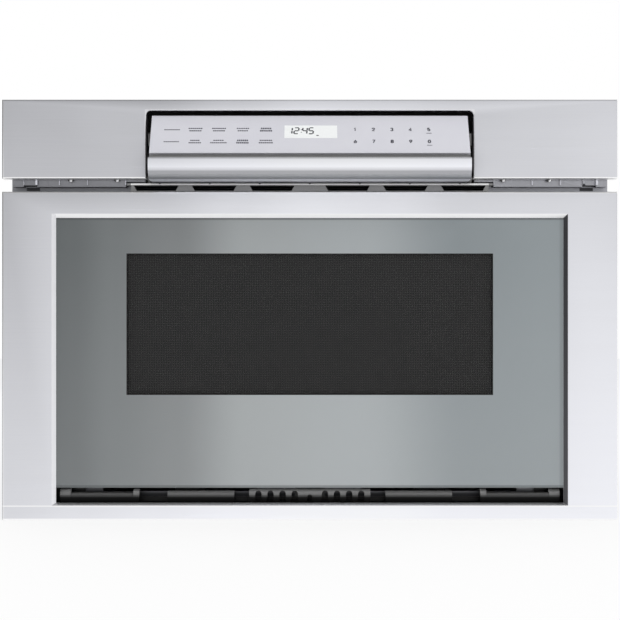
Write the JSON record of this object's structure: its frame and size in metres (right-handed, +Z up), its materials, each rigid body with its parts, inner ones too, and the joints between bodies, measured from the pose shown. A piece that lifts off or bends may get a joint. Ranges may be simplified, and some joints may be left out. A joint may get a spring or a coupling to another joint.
{
  "type": "microwave drawer",
  "caption": "Built-in microwave oven with a motor-driven drawer, a framed mirror-glass front and a tilt-out touch panel above it.",
  "frame": {"origin": "centre of the underside that rests on the platform of the kitchen cabinet", "axes": "+X to the right as seen from the front, +Y to the back, +Z up"},
  "size_m": [0.6064, 0.678, 0.4143],
  "materials": {
    "brushed_steel": "fine horizontal brushed grain",
    "galvanised_steel": "dull zinc coating",
    "slide_steel": "bright zinc plating",
    "dark_steel": "satin dark coating",
    "enamelled_steel": "grey enamel",
    "antenna_aluminium": "satin",
    "brass": "machined",
    "black_plastic": "fine moulded grain",
    "grey_plastic": "fine moulded grain",
    "white_plastic": "moulded acetal",
    "circuit_board": "lacquered board",
    "door_glass": "dark reflective coating",
    "control_glass": "satin silver print behind",
    "window_mesh": "black perforated sheet",
    "glass_ceramic": "white opaque"
  },
  "bodies": {
    "cabinet": {"fascia": "brushed_steel", "base_plate": "galvanised_steel", "side_panel_right": "galvanised_steel", "side_panel_left": "galvanised_steel", "top_panel": "galvanised_steel", "back_panel": "galvanised_steel", "fascia_carrier": "galvanised_steel", "exhaust_duct": "galvanised_steel", "waveguide": "galvanised_steel", "magnetron": "galvanised_steel", "high_voltage_capacitor": "galvanised_steel", "antenna_motor": "galvanised_steel", "shaft_carrier": "galvanised_steel", "slide_outer_right": "slide_steel", "slide_outer_left": "slide_steel", "front_flange": "dark_steel", "exhaust_tray": "dark_steel", "high_voltage_transformer": "dark_steel", "blower_motor": "dark_steel", "drive_gearmotor": "dark_steel", "oven_cavity": "enamelled_steel", "cord_gland": "black_plastic", "pod_catch": "black_plastic", "recess_liner": "black_plastic", "blower_housing": "grey_plastic", "pod_bracket_right": "grey_plastic", "pod_bracket_left": "grey_plastic", "oven_lamp": "white_plastic", "switch_housing_right": "white_plastic", "switch_housing_left": "white_plastic", "control_board": "circuit_board", "noise_filter": "circuit_board"},
    "drawer": {"door_frame": "brushed_steel", "door_glass": "door_glass", "window_screen": "window_mesh", "door_pan": "enamelled_steel", "choke_cover": "grey_plastic", "door_grille": "black_plastic", "drawer_box": "enamelled_steel", "ceramic_shelf": "glass_ceramic", "drawer_arm_right": "galvanised_steel", "drawer_arm_left": "galvanised_steel", "slide_inner_right": "slide_steel", "slide_inner_left": "slide_steel", "rack_right": "white_plastic", "rack_left": "white_plastic", "latch_hook_right": "white_plastic", "latch_hook_left": "white_plastic"},
    "slide_middle_member_right": {"slide_middle_right": "slide_steel"},
    "slide_middle_member_left": {"slide_middle_left": "slide_steel"},
    "cross_shaft": {"drive_shaft": "dark_steel", "drive_pinion": "white_plastic", "drive_gear": "white_plastic"},
    "motor_output": {"motor_pinion": "brass"},
    "control_panel": {"pod_housing": "grey_plastic", "control_glass": "control_glass", "display_board": "circuit_board", "nose_cover": "brushed_steel"},
    "stirrer": {"antenna": "antenna_aluminium"},
    "fan": {"blower_wheel": "black_plastic"}
  },
  "joints": [
    {"name": "drawer_slide", "type": "slide", "parent": "cabinet", "child": "drawer", "axis": [0, -1, 0], "range_m": [0, 0.381]},
    {"name": "slide_middle_right_slide", "type": "slide", "parent": "cabinet", "child": "slide_middle_member_right", "axis": [0, -1, 0], "range_m": [0, 0.191]},
    {"name": "slide_middle_left_slide", "type": "slide", "parent": "cabinet", "child": "slide_middle_member_left", "axis": [0, -1, 0], "range_m": [0, 0.191]},
    {"name": "cross_shaft_turn", "type": "hinge", "parent": "cabinet", "child": "cross_shaft", "pos_m": [0, -0.256, 0.054], "axis": [1, 0, 0], "range_deg": [-0.5, 809]},
    {"name": "motor_pinion_turn", "type": "hinge", "parent": "cabinet", "child": "motor_output", "pos_m": [0.24, -0.2107, 0.04599], "axis": [1, 0, 0], "range_deg": [-1517, 0.5]},
    {"name": "panel_tilt", "type": "hinge", "parent": "cabinet", "child": "control_panel", "pos_m": [0, -0.332, 0.3243], "axis": [1, 0, 0], "range_deg": [-90, 0]},
    {"name": "antenna_spin", "type": "hinge", "parent": "cabinet", "child": "stirrer", "pos_m": [0, -0.08, 0.06], "axis": [0, 0, 1], "continuous": true},
    {"name": "blower_spin", "type": "hinge", "parent": "cabinet", "child": "fan", "pos_m": [0.165, 0.2, 0.158], "axis": [0, 1, 0], "continuous": true}
  ],
  "couplings": [
    {"joint": "slide_middle_right_slide", "follows": "drawer_slide", "ratio": 0.5},
    {"joint": "slide_middle_left_slide", "follows": "drawer_slide", "ratio": 0.5},
    {"joint": "cross_shaft_turn", "follows": "drawer_slide", "rad_per_m": 37.037},
    {"joint": "motor_pinion_turn", "follows": "drawer_slide", "rad_per_m": -69.444}
  ]
}
